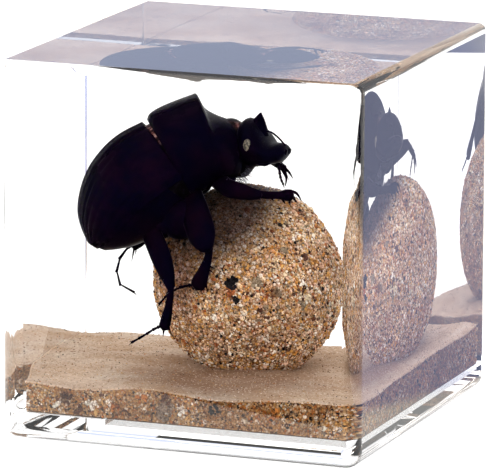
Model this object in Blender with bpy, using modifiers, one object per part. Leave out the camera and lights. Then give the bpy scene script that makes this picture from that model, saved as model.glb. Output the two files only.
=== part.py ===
"""Horned dung beetle standing on its sand-coated ball, cast in a clear resin block.

The origin is the middle of the block's base. The front face looks along -Y, the beetle
faces +X, and its right legs are on the -Y side. Tables of places are in millimetres.
"""
import math

import bmesh
import bpy
from mathutils import Matrix, Vector, noise

MM = 0.001                       # one millimetre in metres

# ---- driving dimensions -------------------------------------------------------------
BLOCK_WIDTH = 65.0 * MM          # clear block, face to face along X
BLOCK_DEPTH = 67.6 * MM          # along Y
BLOCK_HEIGHT = 65.0 * MM         # along Z
CORNER_RADIUS = 5.2 * MM         # rounding of the upright edge at front left
UPRIGHT_RADIUS = 2.7 * MM        # rounding of the two upright edges at the right
CRISP_RADIUS = 0.8 * MM          # rounding of the upright edge at back left
TOP_RADIUS = 1.5 * MM
BASE_RADIUS = 2.7 * MM
PARTING_HEIGHT = 21.5 * MM       # plane where the clear solid is parted in two
FIT_GAP = 0.3 * MM               # room between neighbouring pieces
ROOT_GAP = 0.4 * MM              # room between the body and the root of a leg
POCKET_GAP = 0.7 * MM            # room round the ball and the legs in the clear solid
BODY_POCKET_GAP = 1.0 * MM       # room round the beetle's body

BALL_RADIUS = 17.1 * MM
BALL_CENTRE = Vector((3.9, 6.8, 25.1)) * MM
BALL_LUMP = 0.35 * MM            # how far the ball's lumps stand in or out

BED_MARGIN = 2.5 * MM            # clear resin in front of the sand bed and at its right
BED_BACK_MARGIN = 3.2 * MM
BED_LEFT_MARGIN = 5.1 * MM       # at the front corner
BED_FLARE = 3.9 * MM             # how much nearer the bed's left side comes farther back
BED_FLARE_RUN = 0.2              # share of the depth over which it does
BED_BOTTOM = 4.8 * MM
BED_TOP = 10.7 * MM              # mean height of the sand
BED_RISE = Vector((0.6, 0.6)) * MM    # sand is higher toward +X and +Y, middle to edge
BED_RIPPLE = 0.45 * MM
BED_CELLS = 10                   # cells along each side of the bed's top

BODY_PIVOT = Vector((4.0, 0.2, 0.0)) * MM       # the neck, about which the body is turned
BODY_YAW = math.radians(18.0)
HEAD_PIVOT = Vector((-8.3, 0.9, 0.0)) * MM      # a point of the head's midplane
HEAD_YAW = math.radians(-4.0)

ELYTRON_THICKNESS = 0.9 * MM
SUTURE_GAP = 0.5 * MM            # room between the two elytra
RING_STEPS = 18                  # points round a body section
LEG_STEPS = 8                    # points round a leg section

# Sections along the beetle, rear to front: dorsal (x, z), ventral (x, z), half width
HINDBODY = [
    ((-23.2, 31.7), (-20.6, 30.5), 2.8),
    ((-24.4, 34.3), (-18.0, 30.8), 5.6),
    ((-25.0, 37.2), (-15.4, 31.4), 7.7),
    ((-24.5, 40.8), (-13.0, 32.4), 9.0),
    ((-23.0, 44.6), (-10.9, 33.5), 9.6),
    ((-20.4, 48.1), (-8.9, 34.8), 9.7),
    ((-17.4, 50.7), (-7.0, 36.7), 9.3),
    ((-13.5, 52.8), (-5.2, 39.0), 8.6),
]
PROTHORAX = [
    ((-12.6, 53.2), (-4.3, 39.9), 8.7),
    ((-11.3, 54.8), (-3.1, 41.1), 9.5),
    ((-7.9, 56.5), (-1.2, 42.3), 9.9),
    ((-4.1, 58.0), (0.4, 43.1), 9.7),
    ((-2.5, 55.7), (1.7, 43.4), 9.2),
    ((-0.4, 54.5), (2.9, 43.7), 8.1),
    ((1.7, 53.8), (3.5, 44.2), 6.2),
    ((2.6, 53.2), (3.8, 44.8), 4.3),
]
HEAD = [
    ((4.7, 53.2), (5.6, 45.6), 3.9),
    ((5.5, 53.6), (6.4, 45.9), 5.9),
    ((7.0, 52.9), (7.8, 46.3), 6.0),
    ((8.7, 51.4), (9.3, 46.8), 5.6),
    ((10.6, 50.6), (10.7, 47.3), 4.6),
    ((12.0, 49.8), (11.9, 48.2), 2.9),
    ((12.6, 49.4), (12.5, 48.8), 1.6),
]
HORN_BASE = Vector((6.5, 0.0, 52.2)) * MM
HORN_TIP = Vector((7.7, 0.0, 55.3)) * MM
HORN_RADIUS = 1.6 * MM
EYE_PLACE = Vector((6.4, 5.1, 50.4)) * MM       # mirrored for the other eye
EYE_SIZE = Vector((1.0, 1.1, 1.3)) * MM
ELYTRON_EDGE = math.radians(-14.0)              # the elytra reach below the widest line

# Legs in millimetres: the femur runs root to knee, the tibia knee to ankle, and the
# tarsus on from there; widths lie in the upright plane, thicknesses across it
LEGS = {
    "fore_leg_right": {
        "root": (0.7, -4.3, 43.9), "knee": (5.8, -8.8, 43.2), "ankle": (14.2, -0.2, 41.2),
        "tarsus": [(14.9, 0.4, 41.1), (15.8, 1.0, 40.9)], "femur": (3.4, 2.4), "tibia": (3.0, 1.3),
    },
    "mid_leg_right": {
        "root": (-3.6, -6.4, 41.1), "knee": (0.7, -12.8, 33.7), "ankle": (-1.0, -12.1, 26.1),
        "tarsus": [(-3.0, -11.6, 25.8), (-5.3, -11.3, 25.1), (-6.8, -11.0, 24.0), (-8.2, -10.6, 22.4)],
        "femur": (4.4, 2.4), "tibia": (3.2, 1.3),
    },
    "hind_leg_right": {
        "root": (-11.3, -9.4, 36.0), "knee": (-5.4, -12.5, 25.6), "ankle": (-6.9, -12.0, 18.7),
        "tarsus": [(-8.6, -11.6, 18.1), (-10.6, -11.2, 16.9), (-13.1, -11.0, 15.5)],
        "femur": (3.3, 2.2), "tibia": (3.0, 1.3),
    },
    "fore_leg_left": {
        "root": (0.4, 4.2, 44.9), "knee": (4.6, 11.4, 46.6), "ankle": (9.6, 11.8, 44.2),
        "tarsus": [(10.2, 11.4, 43.5), (10.3, 10.4, 42.4)], "femur": (3.2, 2.4), "tibia": (2.8, 1.2),
    },
    "mid_leg_left": {
        "root": (-5.2, 2.2, 41.4), "knee": (-5.5, 11.5, 44.1), "ankle": (-9.6, 13.6, 36.8),
        "tarsus": [(-11.2, 14.0, 35.5), (-12.4, 14.1, 34.6)], "femur": (3.3, 2.2), "tibia": (2.8, 1.3),
    },
    "hind_leg_left": {
        "root": (-12.6, 1.0, 36.2), "knee": (-14.6, 7.2, 31.6), "ankle": (-17.0, 6.0, 30.0),
        "tarsus": [(-19.1, 5.9, 28.1), (-20.0, 6.0, 25.2), (-19.4, 6.0, 23.0), (-17.1, 6.0, 21.9)],
        "femur": (3.3, 2.2), "tibia": (2.8, 1.3),
    },
}
FEMUR_SHAPE = [(0.0, 0.8), (0.4, 1.0), (0.8, 0.85), (1.0, 0.5)]     # share of run, of width
TIBIA_SHAPE = [(0.0, 0.4), (0.5, 0.62), (0.88, 1.0), (1.0, 0.85)]
POCKET_SHAPE = [(0.0, 1.0), (1.0, 1.0)]
TARSUS_WIDTH = 0.95 * MM
CLAW_WIDTH = 0.55 * MM

MATERIALS = {
    "clear_resin": ((0.93, 0.95, 0.97), 0.04, 0.25),      # colour, roughness, alpha
    "sand_mix": ((0.46, 0.33, 0.20), 0.80, 1.0),
    "sand_on_dung": ((0.42, 0.28, 0.16), 0.85, 1.0),
    "black_chitin": ((0.012, 0.010, 0.018), 0.22, 1.0),
}


def clear_scene():
    for found in list(bpy.data.objects):
        bpy.data.objects.remove(found, do_unlink=True)
    for found in list(bpy.data.collections):
        bpy.data.collections.remove(found)


def make_collection(name):
    group = bpy.data.collections.new(name)
    bpy.context.scene.collection.children.link(group)
    return group


def make_material(name):
    colour, roughness, alpha = MATERIALS[name]
    material = bpy.data.materials.new(name)
    material.use_nodes = True
    shader = material.node_tree.nodes["Principled BSDF"]
    shader.inputs["Base Color"].default_value = (*colour, 1.0)
    shader.inputs["Roughness"].default_value = roughness
    shader.inputs["Metallic"].default_value = 0.0
    shader.inputs["Alpha"].default_value = alpha
    return material


def add_object(name, shape, group, material=None, smooth_angle=40.0):
    """Turn a finished bmesh into a named object of the given collection."""
    bmesh.ops.recalc_face_normals(shape, faces=shape.faces)
    if shape.calc_volume(signed=True) < 0.0:
        bmesh.ops.reverse_faces(shape, faces=shape.faces)
    mesh = bpy.data.meshes.new(name)
    shape.to_mesh(mesh)
    shape.free()
    made = bpy.data.objects.new(name, mesh)
    group.objects.link(made)
    if material:
        mesh.materials.append(material)
        mesh.shade_smooth()
        mesh.set_sharp_from_angle(angle=math.radians(smooth_angle))
    else:
        made.hide_render = True
        made.display_type = "WIRE"
    return made


def cut(target, tool, operation="DIFFERENCE"):
    modifier = target.modifiers.new(operation.title() + " " + tool.name, "BOOLEAN")
    modifier.operation = operation
    modifier.solver = "EXACT"
    modifier.object = tool


def midplane_place(pivot, yaw):
    """Frame of a midplane through the pivot, turned about the block's upright."""
    along = Vector((pivot.x, 0.0, 0.0))
    return Matrix.Translation(pivot) @ Matrix.Rotation(yaw, 4, "Z") @ Matrix.Translation(-along)


def body_place():
    return midplane_place(BODY_PIVOT, BODY_YAW)


def head_place():
    return midplane_place(HEAD_PIVOT, HEAD_YAW)


# ---- closed shapes from sections ------------------------------------------------------
def section(station, steps, grow, drop):
    """Ring of points round one body section; drop draws in its back and sides."""
    (back_x, back_z), (belly_x, belly_z), half_width = station
    dorsal = Vector((back_x, 0.0, back_z)) * MM
    ventral = Vector((belly_x, 0.0, belly_z)) * MM
    up = (dorsal - ventral).normalized()
    dorsal += up * (grow - drop)
    ventral -= up * grow
    middle = (dorsal + ventral) / 2
    reach = (dorsal - ventral).length / 2
    side = Vector((0.0, half_width * MM + grow - drop, 0.0))
    angles = [math.tau * step / steps for step in range(steps)]
    return [middle + up * reach * math.sin(angle) + side * math.cos(angle) for angle in angles]


def skin_rings(rings, cap_reach=0.0):
    """Close a loft through rings of equal count, with a pole at each end."""
    shape = bmesh.new()
    loops = [[shape.verts.new(point) for point in ring] for ring in rings]
    steps = len(rings[0])
    for near, far in zip(loops, loops[1:]):
        for i in range(steps):
            j = (i + 1) % steps
            shape.faces.new((near[i], near[j], far[j], far[i]))
    for loop, inner in ((loops[0], loops[1]), (loops[-1], loops[-2])):
        middle = sum((v.co for v in loop), Vector()) / steps
        inner_middle = sum((v.co for v in inner), Vector()) / steps
        pole = shape.verts.new(middle + (middle - inner_middle).normalized() * cap_reach)
        for i in range(steps):
            shape.faces.new((loop[i], loop[(i + 1) % steps], pole))
    return shape


def body_shape(stations, place, grow=0.0, drops=None, cap_reach=0.0):
    drops = drops or [0.0] * len(stations)
    rings = [section(station, RING_STEPS, grow, drop) for station, drop in zip(stations, drops)]
    shape = skin_rings(rings, cap_reach)
    shape.transform(place)
    return shape


def tube(points, sizes, steps, cap_reach):
    """Flattened sections square to a run of points, widest in the upright plane."""
    rings = []
    for i, (point, (width, thickness)) in enumerate(zip(points, sizes)):
        along = (points[min(i + 1, len(points) - 1)] - points[max(i - 1, 0)]).normalized()
        broad = along.cross(Vector((0.0, 1.0, 0.0))).normalized()
        thin = along.cross(broad)
        angles = [math.tau * (step + 0.5) / steps for step in range(steps)]
        rings.append([
            point + broad * width / 2 * math.cos(angle) + thin * thickness / 2 * math.sin(angle)
            for angle in angles
        ])
    return skin_rings(rings, cap_reach)


def straight_segment(start, end, size, shape, steps, grow):
    """A femur or tibia: a straight run whose width follows a list of shares."""
    points = [start.lerp(end, share) for share, _ in shape]
    sizes = [[full * MM * part + 2 * grow for full in size] for _, part in shape]
    return tube(points, sizes, steps, cap_reach=0.4 * MM + grow)


def leg_segments(leg, steps, grow=0.0, femur_shape=FEMUR_SHAPE, tibia_shape=TIBIA_SHAPE):
    root, knee, ankle = (Vector(leg[joint]) * MM for joint in ("root", "knee", "ankle"))
    femur = straight_segment(root, knee, leg["femur"], femur_shape, steps, grow)
    tibia = straight_segment(knee, ankle, leg["tibia"], tibia_shape, steps, grow)
    path = [ankle.lerp(knee, 0.1)] + [Vector(place) * MM for place in leg["tarsus"]]
    last = len(path) - 1
    taper = (CLAW_WIDTH - TARSUS_WIDTH) / last
    widths = [TARSUS_WIDTH + taper * i + 2 * grow for i in range(last + 1)]
    tarsus = tube(path, [(width, width) for width in widths], steps, cap_reach=0.2 * MM + grow)
    return {"femur": femur, "tibia": tibia, "tarsus": tarsus}


def cone_between(root, tip, radius, steps=6):
    """A pointed spur, horn or tooth from its root to its tip."""
    run = tip - root
    shape = bmesh.new()
    bmesh.ops.create_cone(
        shape, cap_ends=True, segments=steps, radius1=radius, radius2=radius * 0.2,
        depth=run.length,
    )
    turn = Vector((0.0, 0.0, 1.0)).rotation_difference(run.normalized()).to_matrix().to_4x4()
    shape.transform(Matrix.Translation((root + tip) / 2) @ turn)
    return shape


def ball_shape(radius, columns, rows):
    shape = bmesh.new()
    bmesh.ops.create_uvsphere(shape, u_segments=columns, v_segments=rows, radius=radius)
    shape.transform(Matrix.Translation(BALL_CENTRE))
    return shape


# ---- pieces ---------------------------------------------------------------------------
def sand_height(x, y):
    """Height of the uneven sand at a point of the bed."""
    slope = BED_RISE.x * 2.0 * x / BLOCK_WIDTH + BED_RISE.y * 2.0 * y / BLOCK_DEPTH
    ripple = noise.noise(Vector((x, y, 0.0)) / (14.0 * MM))
    return BED_TOP + slope + 2.0 * BED_RIPPLE * ripple


def bed_shape(grow=0.0, cells=BED_CELLS, lift=0.0):
    """A slab of sand: level underside, upright sides, uneven top; narrower at the front."""
    front = -BLOCK_DEPTH / 2 + BED_MARGIN - grow
    back = BLOCK_DEPTH / 2 - BED_BACK_MARGIN + grow
    right = BLOCK_WIDTH / 2 - BED_MARGIN + grow
    shape = bmesh.new()
    bmesh.ops.create_grid(shape, x_segments=cells, y_segments=cells, size=0.5)
    for vert in shape.verts:
        across, deep = vert.co.x + 0.5, vert.co.y + 0.5
        flare = BED_FLARE * min(deep / BED_FLARE_RUN, 1.0)
        left = -BLOCK_WIDTH / 2 + BED_LEFT_MARGIN - flare - grow
        vert.co.x = left + (right - left) * across
        vert.co.y = front + (back - front) * deep
    top = list(shape.faces)
    raised = bmesh.ops.extrude_face_region(shape, geom=top, use_keep_orig=True)
    below = [item for item in raised["geom"] if isinstance(item, bmesh.types.BMVert)]
    below_faces = [item for item in raised["geom"] if isinstance(item, bmesh.types.BMFace)]
    for vert in below:
        vert.co.z = BED_BOTTOM - grow
    for vert in {v for face in top for v in face.verts}:
        vert.co.z = sand_height(vert.co.x, vert.co.y) + lift
    bmesh.ops.dissolve_faces(shape, faces=below_faces)
    return shape


def build_ball(group, material):
    """Ball of dung rolled in sand: nearly round, with shallow lumps."""
    shape = bmesh.new()
    bmesh.ops.create_icosphere(shape, subdivisions=4, radius=BALL_RADIUS)
    for vert in shape.verts:
        bump = noise.noise(vert.co / (9.0 * MM)) * BALL_LUMP
        vert.co += vert.co.normalized() * bump
    shape.transform(Matrix.Translation(BALL_CENTRE))
    return add_object("dung_ball", shape, group, material)


def build_bed(group, cutters, material):
    bed = add_object("sand_bed", bed_shape(), group, material)
    seat = add_object("ball_seat", ball_shape(BALL_RADIUS + BALL_LUMP + FIT_GAP, 32, 20), cutters)
    cut(bed, seat)
    return bed


def build_body(group, material):
    """Prothorax, and the hind body that the elytra cover."""
    under_elytra = ELYTRON_THICKNESS + FIT_GAP + 0.1 * MM
    drops = [2.2 * under_elytra, 1.5 * under_elytra] + [under_elytra] * (len(HINDBODY) - 3)
    prothorax = body_shape(PROTHORAX, body_place(), cap_reach=0.2 * MM)
    add_object("beetle_prothorax", prothorax, group, material)
    hindbody = body_shape(HINDBODY[1:], body_place(), drops=drops, cap_reach=0.2 * MM)
    add_object("beetle_hindbody", hindbody, group, material)


def build_head(group, cutters, material):
    shape = body_shape(HEAD, head_place(), cap_reach=0.1 * MM)
    head = add_object("beetle_head", shape, group, material)
    horn = cone_between(HORN_BASE, HORN_TIP, HORN_RADIUS, steps=10)
    horn.transform(head_place())
    cut(head, add_object("horn_form", horn, cutters), "UNION")
    for side, name in ((-1, "eye_right_form"), (1, "eye_left_form")):
        eye = bmesh.new()
        bmesh.ops.create_uvsphere(eye, u_segments=10, v_segments=6, radius=1.0)
        place = Vector((EYE_PLACE.x, EYE_PLACE.y * side, EYE_PLACE.z))
        eye.transform(Matrix.Translation(place) @ Matrix.Diagonal((*EYE_SIZE, 1.0)))
        eye.transform(head_place())
        cut(head, add_object(name, eye, cutters), "UNION")


def build_elytron(name, side, group, material):
    """One wing case: a thin dome from the suture round to its lower side edge."""
    steps = 9
    shape = bmesh.new()
    rows = []
    for (back_x, back_z), (belly_x, belly_z), half_width in HINDBODY:
        dorsal = Vector((back_x, 0.0, back_z)) * MM
        ventral = Vector((belly_x, 0.0, belly_z)) * MM
        middle = (dorsal + ventral) / 2
        row = []
        for step in range(steps + 1):
            angle = ELYTRON_EDGE + (math.pi / 2 - ELYTRON_EDGE) * step / steps
            across = SUTURE_GAP / 2 + (half_width * MM - SUTURE_GAP / 2) * math.cos(angle)
            point = middle + (dorsal - middle) * math.sin(angle) + Vector((0.0, side * across, 0.0))
            row.append(shape.verts.new(point))
        rows.append(row)
    for near, far in zip(rows, rows[1:]):
        for i in range(steps):
            corners = (near[i], near[i + 1], far[i + 1], far[i])
            shape.faces.new(corners if side > 0 else corners[::-1])
    shape.transform(body_place())
    shape.normal_update()
    mesh = bpy.data.meshes.new(name)
    shape.to_mesh(mesh)
    shape.free()
    wing_case = bpy.data.objects.new(name, mesh)
    group.objects.link(wing_case)
    mesh.materials.append(material)
    mesh.shade_smooth()
    wall = wing_case.modifiers.new("Wall", "SOLIDIFY")
    wall.thickness = ELYTRON_THICKNESS
    wall.offset = -1.0
    wall.use_even_offset = False


def build_leg(name, group, cutters, body_tools, material):
    """One leg: its three segments in one solid, cut off where it leaves the body."""
    segments = leg_segments(LEGS[name], LEG_STEPS)
    leg = add_object(name, segments["femur"], group, material)
    for segment in ("tibia", "tarsus"):
        cut(leg, add_object(name + "_" + segment, segments[segment], cutters), "UNION")
    for tool in body_tools:
        cut(leg, tool)


def pocket_tools(cutters):
    """Roomy forms of everything inside, which hollow out the clear solid."""
    reach = BALL_RADIUS + BALL_LUMP + POCKET_GAP
    forms = {
        "ball": ball_shape(reach, 28, 16),
        "bed": bed_shape(FIT_GAP, 5, POCKET_GAP),
        "body": body_shape(HINDBODY + PROTHORAX, body_place(), BODY_POCKET_GAP,
                           cap_reach=BODY_POCKET_GAP),
        "head": body_shape(HEAD, head_place(), BODY_POCKET_GAP, cap_reach=BODY_POCKET_GAP),
    }
    horn_reach = (HORN_TIP - HORN_BASE).normalized() * POCKET_GAP
    forms["horn"] = cone_between(HORN_BASE, HORN_TIP + horn_reach, HORN_RADIUS + POCKET_GAP)
    forms["horn"].transform(head_place())
    for name, leg in LEGS.items():
        segments = leg_segments(leg, 6, POCKET_GAP, POCKET_SHAPE, POCKET_SHAPE)
        for segment, form in segments.items():
            forms[name + "_" + segment] = form
    return [add_object("pocket_" + name, form, cutters) for name, form in forms.items()]


def edge_radius(middle):
    """Rounding of the block's edge that has this middle."""
    if abs(middle.z) > BLOCK_HEIGHT / 4:
        return TOP_RADIUS if middle.z > 0 else BASE_RADIUS
    if middle.x > 0:
        return UPRIGHT_RADIUS
    return CORNER_RADIUS if middle.y < 0 else CRISP_RADIUS


def build_resin(name, low, high, group, cutters, tools, material):
    """One half of the clear block, between two heights, hollowed for the specimen."""
    shape = bmesh.new()
    size = Matrix.Diagonal((BLOCK_WIDTH, BLOCK_DEPTH, BLOCK_HEIGHT, 1.0))
    bmesh.ops.create_cube(shape, size=1.0, matrix=size)
    share = shape.edges.layers.float.new("bevel_weight_edge")
    for edge in shape.edges:
        start, end = edge.verts
        edge[share] = edge_radius((start.co + end.co) / 2) / CORNER_RADIUS
    shape.transform(Matrix.Translation((0.0, 0.0, BLOCK_HEIGHT / 2)))
    resin = add_object(name, shape, group, material)
    rounding = resin.modifiers.new("Rounding", "BEVEL")
    rounding.limit_method = "WEIGHT"
    rounding.width = CORNER_RADIUS
    rounding.segments = 4
    keep = bmesh.new()
    span = Matrix.Diagonal((BLOCK_WIDTH * 1.2, BLOCK_DEPTH * 1.2, high - low, 1.0))
    bmesh.ops.create_cube(keep, size=1.0, matrix=span)
    keep.transform(Matrix.Translation((0.0, 0.0, (low + high) / 2)))
    cut(resin, add_object(name + "_span", keep, cutters), "INTERSECT")
    for tool in tools:
        cut(resin, tool)


def main():
    clear_scene()
    parts = make_collection("beetle_in_resin")
    cutters = make_collection("cutters")
    cutters.hide_render = True
    finish = {name: make_material(name) for name in MATERIALS}

    build_ball(parts, finish["sand_on_dung"])
    build_bed(parts, cutters, finish["sand_mix"])
    chitin = finish["black_chitin"]
    build_body(parts, chitin)
    build_head(parts, cutters, chitin)
    build_elytron("elytron_right", -1, parts, chitin)
    build_elytron("elytron_left", 1, parts, chitin)

    rooms = {
        "room_body": body_shape(HINDBODY + PROTHORAX, body_place(), ROOT_GAP, cap_reach=ROOT_GAP),
        "room_ball": ball_shape(BALL_RADIUS + BALL_LUMP + FIT_GAP, 32, 20),
    }
    room = [add_object(name, shape, cutters) for name, shape in rooms.items()]
    for name in LEGS:
        build_leg(name, parts, cutters, room, chitin)

    tools = pocket_tools(cutters)
    spans = {
        "resin_lower": (-BLOCK_HEIGHT, PARTING_HEIGHT - FIT_GAP / 2),
        "resin_upper": (PARTING_HEIGHT + FIT_GAP / 2, BLOCK_HEIGHT * 2),
    }
    for name, (low, high) in spans.items():
        build_resin(name, low, high, parts, cutters, tools, finish["clear_resin"])


main()
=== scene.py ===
import bpy
import bmesh
import math
import random
from mathutils import Matrix, Vector, noise


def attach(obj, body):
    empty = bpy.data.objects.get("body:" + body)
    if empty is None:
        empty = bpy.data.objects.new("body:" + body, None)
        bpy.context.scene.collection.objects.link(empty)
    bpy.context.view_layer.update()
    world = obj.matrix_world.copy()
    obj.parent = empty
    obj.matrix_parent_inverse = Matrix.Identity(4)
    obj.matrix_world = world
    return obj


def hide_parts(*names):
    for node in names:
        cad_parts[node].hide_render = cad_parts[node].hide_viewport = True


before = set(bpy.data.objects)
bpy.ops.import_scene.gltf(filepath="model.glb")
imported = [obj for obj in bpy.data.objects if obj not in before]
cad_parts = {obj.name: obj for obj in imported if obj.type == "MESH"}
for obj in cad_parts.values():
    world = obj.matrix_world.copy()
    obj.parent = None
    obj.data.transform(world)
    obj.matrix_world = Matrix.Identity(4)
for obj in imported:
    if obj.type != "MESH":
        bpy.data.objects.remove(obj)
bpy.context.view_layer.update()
mm = 0.001
white = (1.0, 1.0, 1.0)
scene = bpy.context.scene


# small helpers shared by every piece
def makeObject(name, bm, material):
    mesh = bpy.data.meshes.new(name)
    bm.to_mesh(mesh)
    bm.free()
    mesh.materials.append(material)
    made = bpy.data.objects.new(name, mesh)
    scene.collection.objects.link(made)
    return made


def keepPiece(name, bm, material, stands=(), smooth=40):
    piece = makeObject(name, bm, material)
    piece.data.shade_smooth()
    piece.data.set_sharp_from_angle(angle=math.radians(smooth))
    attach(piece, "root")
    if stands:
        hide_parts(*stands)
    return piece


def addRing(bm, middle, across, up, segments):
    # one ring of a loft: a unit circle laid on two half axes
    layOut = Matrix((across, up, across.cross(up).normalized())).transposed().to_4x4()
    layOut.translation = middle
    ring = bmesh.ops.create_circle(bm, cap_ends=False, segments=segments, radius=1.0)["verts"]
    bmesh.ops.transform(bm, matrix=layOut, verts=ring)
    return ring


def ringEdges(ring):
    inRing = set(ring)
    return [e for e in {e for v in ring for e in v.link_edges} if e.verts[0] in inRing and e.verts[1] in inRing]


def loft(bm, rings, reach):
    # skin over the rings, with a poked cap that stands out by reach in mm at each end
    edges = [ringEdges(ring) for ring in rings]
    for near, far in zip(edges, edges[1:]):
        bmesh.ops.bridge_loops(bm, edges=near + far)
    for ends, height in ((edges[0], reach[0]), (edges[-1], reach[1])):
        made = bmesh.ops.contextual_create(bm, geom=ends)["faces"]
        bmesh.ops.recalc_face_normals(bm, faces=bm.faces)
        bmesh.ops.poke(bm, faces=made, offset=height * mm)


def curveThrough(points, perGap):
    # a smooth run of values through the given ones
    padded = [points[0]] + list(points) + [points[-1]]
    run = []
    for i in range(1, len(padded) - 2):
        p0, p1, p2, p3 = padded[i - 1:i + 3]
        for step in range(perGap):
            t = step / perGap
            run.append([0.5 * (2 * b + (c - a) * t + (2 * a - 5 * b + 4 * c - d) * t * t
                               + (3 * b - a - 3 * c + d) * t ** 3) for a, b, c, d in zip(p0, p1, p2, p3)])
    run.append(list(points[-1]))
    return run


def growTube(bm, points, sides, thin, reach=0.3, perGap=4):
    # a limb through (x, y, z, width) points in mm, thinner across than in the upright plane
    run = curveThrough(points, perGap)
    places = [Vector(p[:3]) * mm for p in run]
    rings = []
    for i, place in enumerate(places):
        along = (places[min(i + 1, len(places) - 1)] - places[max(i - 1, 0)]).normalized()
        broad = along.cross(Vector((0, 1, 0))).normalized() * run[i][3] / 2 * mm
        flat = along.cross(broad).normalized() * run[i][3] / 2 * thin * mm
        rings.append(addRing(bm, place, broad, flat, sides))
    loft(bm, rings, (run[0][3] * reach, run[-1][3] * reach))


def addSpike(bm, root, tip, radius, sides=5, point=0.08):
    run = tip - root
    turn = Vector((0, 0, 1)).rotation_difference(run.normalized()).to_matrix().to_4x4()
    bmesh.ops.create_cone(bm, cap_ends=True, segments=sides, radius1=radius, radius2=radius * point,
                          depth=run.length, matrix=Matrix.Translation((root + tip) / 2) @ turn)


def addEgg(bm, middle, radii, around, rows, turn=Matrix()):
    layOut = turn @ Matrix.Translation(Vector(middle) * mm) @ Matrix.Diagonal((*(r * mm for r in radii), 1.0))
    return bmesh.ops.create_uvsphere(bm, u_segments=around, v_segments=rows, radius=1.0, matrix=layOut)["verts"]


# camera, from a fit to the block's outline in the photograph
camera = {"azimuth": 20.80, "elevation": 11.67, "roll": 0.24, "lens": 421.8,
          "place": (0.34119, -0.89921, 0.22997)}

cameraData = bpy.data.cameras.new("camera")
cameraData.sensor_width = 36.0
cameraData.lens = camera["lens"]
cameraData.clip_start = 0.01
cameraObject = bpy.data.objects.new("camera", cameraData)
scene.collection.objects.link(cameraObject)
azimuth, elevation = math.radians(camera["azimuth"]), math.radians(camera["elevation"])
ahead = Vector((-math.sin(azimuth) * math.cos(elevation), math.cos(azimuth) * math.cos(elevation),
                -math.sin(elevation)))
cameraObject.matrix_world = (Matrix.Translation(camera["place"]) @ ahead.to_track_quat("-Z", "Y").to_matrix().to_4x4()
                             @ Matrix.Rotation(math.radians(camera["roll"]), 4, "Z"))
scene.camera = cameraObject
print("camera set")


# materials
def startMaterial(name, **sockets):
    material = bpy.data.materials.new(name)
    material.use_nodes = True
    shader = material.node_tree.nodes["Principled BSDF"]
    for socket, value in sockets.items():
        shader.inputs[socket.replace("_", " ")].default_value = value
    return material, material.node_tree, shader


def addNode(tree, kind, **values):
    node = tree.nodes.new("ShaderNode" + kind)
    for key, value in values.items():
        socket = node.inputs.get(key.replace("_", " "))
        if socket is not None:
            socket.default_value = value
        else:
            setattr(node, key, value)
    return node


def addPattern(tree, place, kind, **values):
    # a texture laid on the piece's own coordinates
    node = addNode(tree, kind, **values)
    tree.links.new(place.outputs["Object"], node.inputs["Vector"])
    return node


def addRamp(tree, source, stops, blend="LINEAR"):
    ramp = addNode(tree, "ValToRGB")
    ramp.color_ramp.interpolation = blend
    while len(ramp.color_ramp.elements) < len(stops):
        ramp.color_ramp.elements.new(0.5)
    for element, (place, colour) in zip(ramp.color_ramp.elements, stops):
        element.position = place
        element.color = (*colour, 1.0)
    tree.links.new(source, ramp.inputs["Fac"])
    return ramp.outputs["Color"]


def addFade(tree, value, low, high):
    # a smooth run from 0 at low to 1 at high
    fade = addNode(tree, "MapRange", interpolation_type="SMOOTHSTEP")
    fade.inputs["From Min"].default_value, fade.inputs["From Max"].default_value = low, high
    tree.links.new(value, fade.inputs["Value"])
    return fade.outputs["Result"]


def addDot(tree, place, heading):
    along = addNode(tree, "VectorMath", operation="DOT_PRODUCT")
    along.inputs[1].default_value = heading
    tree.links.new(place, along.inputs[0])
    return along.outputs["Value"]


def timesValue(tree, first, second):
    product = addNode(tree, "Math", operation="MULTIPLY")
    tree.links.new(first, product.inputs[0])
    tree.links.new(second, product.inputs[1])
    return product.outputs["Value"]


def multiply(tree, first, second):
    mixed = addNode(tree, "Mix", data_type="RGBA", blend_type="MULTIPLY")
    mixed.inputs[0].default_value = 1.0
    tree.links.new(first, mixed.inputs[6])
    tree.links.new(second, mixed.inputs[7])
    return mixed.outputs[2]


def addStain(tree, place, colour, scale, detail, stops):
    # soft patches multiplied over a colour
    patch = addPattern(tree, place, "TexNoise", Scale=scale, Detail=detail)
    return multiply(tree, colour, addRamp(tree, patch.outputs["Fac"], stops))


def addBump(tree, shader, height, strength, distance):
    bump = addNode(tree, "Bump", Strength=strength, Distance=distance)
    tree.links.new(height, bump.inputs["Height"])
    tree.links.new(bump.outputs["Normal"], shader.inputs["Normal"])


resinLook = {"ior": 1.56, "tint": (0.90, 0.94, 0.97), "density": 0.6}
clearResin, tree, shader = startMaterial("clearResin", Base_Color=(1, 1, 1, 1), Roughness=0.0,
                                         IOR=resinLook["ior"], Transmission_Weight=1.0)
absorb = addNode(tree, "VolumeAbsorption", Density=resinLook["density"])
absorb.inputs["Color"].default_value = (*resinLook["tint"], 1.0)
tree.links.new(absorb.outputs["Volume"], tree.nodes["Material Output"].inputs["Volume"])

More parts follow.
